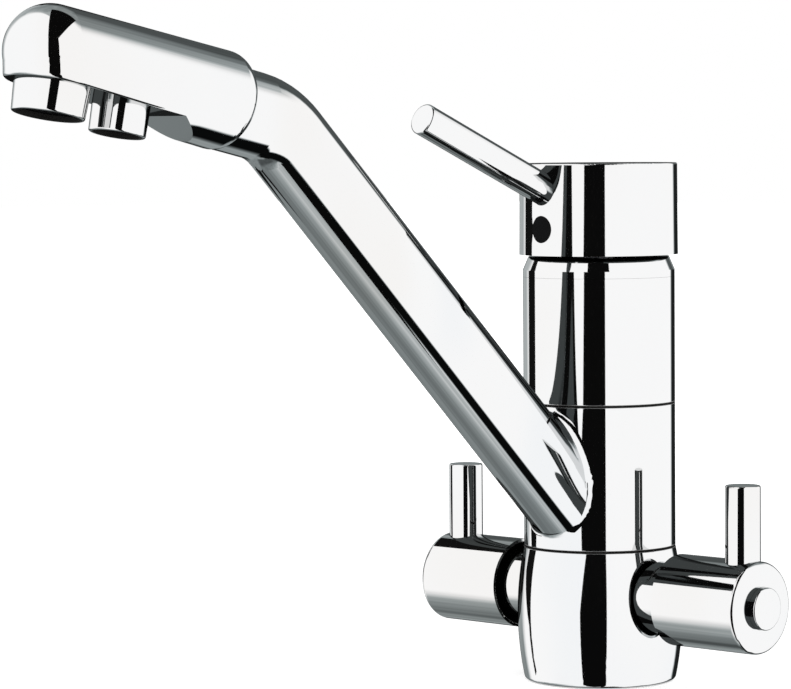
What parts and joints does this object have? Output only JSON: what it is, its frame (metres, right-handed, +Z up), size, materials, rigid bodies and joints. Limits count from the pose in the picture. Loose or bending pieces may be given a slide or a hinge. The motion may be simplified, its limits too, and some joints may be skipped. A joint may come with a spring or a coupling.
{
  "type": "kitchen mixer tap",
  "caption": "Single-lever kitchen mixer with a swivelling angled spout, a separate filtered water outlet beside the aerator, and side valves with upright pins.",
  "frame": {"origin": "centre of the base's bottom face, on the body's vertical axis", "axes": "+Z up along the body; +X forwards, the way the spout points at rest; the lever rests 5 degrees from it, towards -Y; +Y towards the right-hand valve"},
  "size_m": [0.2655, 0.1354, 0.2091],
  "materials": {
    "chrome": "polished chrome on brass",
    "brass": "machined",
    "steel": "plain stainless",
    "ceramic": "lapped ceramic",
    "nylon": "natural acetal",
    "dark_plastic": "dark grey plastic",
    "rubber": "matte",
    "tube": "food-grade tube"
  },
  "bodies": {
    "tap_body": {"lower_body": "chrome", "base_gasket": "rubber", "column_o_rings": "rubber", "lower_glide_ring": "nylon", "upper_glide_ring": "nylon", "upper_body": "chrome", "cover_ring": "chrome", "cartridge_nut": "brass", "cartridge_base": "nylon", "cartridge_seals": "rubber", "fixed_disc": "ceramic", "cartridge_housing": "nylon", "right_collar": "chrome", "right_headwork": "brass", "right_seat_disc": "ceramic", "left_collar": "chrome", "left_headwork": "brass", "left_seat_disc": "ceramic"},
    "spout": {"spout_body": "chrome", "spout_head": "chrome", "filter_tube": "tube", "aerator_housing": "chrome", "aerator_insert": "dark_plastic", "aerator_gasket": "rubber", "filter_nozzle": "chrome", "filter_insert": "dark_plastic"},
    "lever_turn": {"cartridge_rotor": "nylon", "pivot_pin": "steel"},
    "disc_slide": {"moving_disc": "ceramic", "disc_carrier": "nylon"},
    "lever_lift": {"lever_stem": "steel", "lever_cap": "chrome", "lever_rod": "chrome", "index_plug": "dark_plastic", "cap_grub_screw": "steel"},
    "right_handle": {"right_knob": "chrome", "right_pin": "chrome", "right_end_plug": "chrome", "right_spindle": "brass", "right_knob_screw": "steel", "right_valve_disc": "ceramic"},
    "left_handle": {"left_knob": "chrome", "left_pin": "chrome", "left_end_plug": "chrome", "left_spindle": "brass", "left_knob_screw": "steel", "left_valve_disc": "ceramic"}
  },
  "joints": [
    {"name": "spout_swivel", "type": "hinge", "parent": "tap_body", "child": "spout", "pos_m": [0, 0, 0.065], "axis": [0, 0, 1], "continuous": true},
    {"name": "lever_turn_hinge", "type": "hinge", "parent": "tap_body", "child": "lever_turn", "pos_m": [0, 0, 0.128], "axis": [0, 0, 1], "range_deg": [-40, 50]},
    {"name": "lever_lift_hinge", "type": "hinge", "parent": "lever_turn", "child": "lever_lift", "pos_m": [0, 0, 0.128], "axis": [-0.0872, -0.9962, 0], "range_deg": [0, 25]},
    {"name": "disc_travel", "type": "slide", "parent": "lever_turn", "child": "disc_slide", "axis": [0.9962, -0.0872, 0], "range_m": [0, 0.00623]},
    {"name": "right_valve", "type": "hinge", "parent": "tap_body", "child": "right_handle", "pos_m": [0, 0.05, 0.0276], "axis": [0, 1, 0], "range_deg": [0, 90]},
    {"name": "left_valve", "type": "hinge", "parent": "tap_body", "child": "left_handle", "pos_m": [0, -0.05, 0.0276], "axis": [0, 1, 0], "range_deg": [0, 90]}
  ],
  "couplings": [
    {"joint": "disc_travel", "follows": "lever_lift_hinge", "m_per_rad": 0.014044}
  ]
}
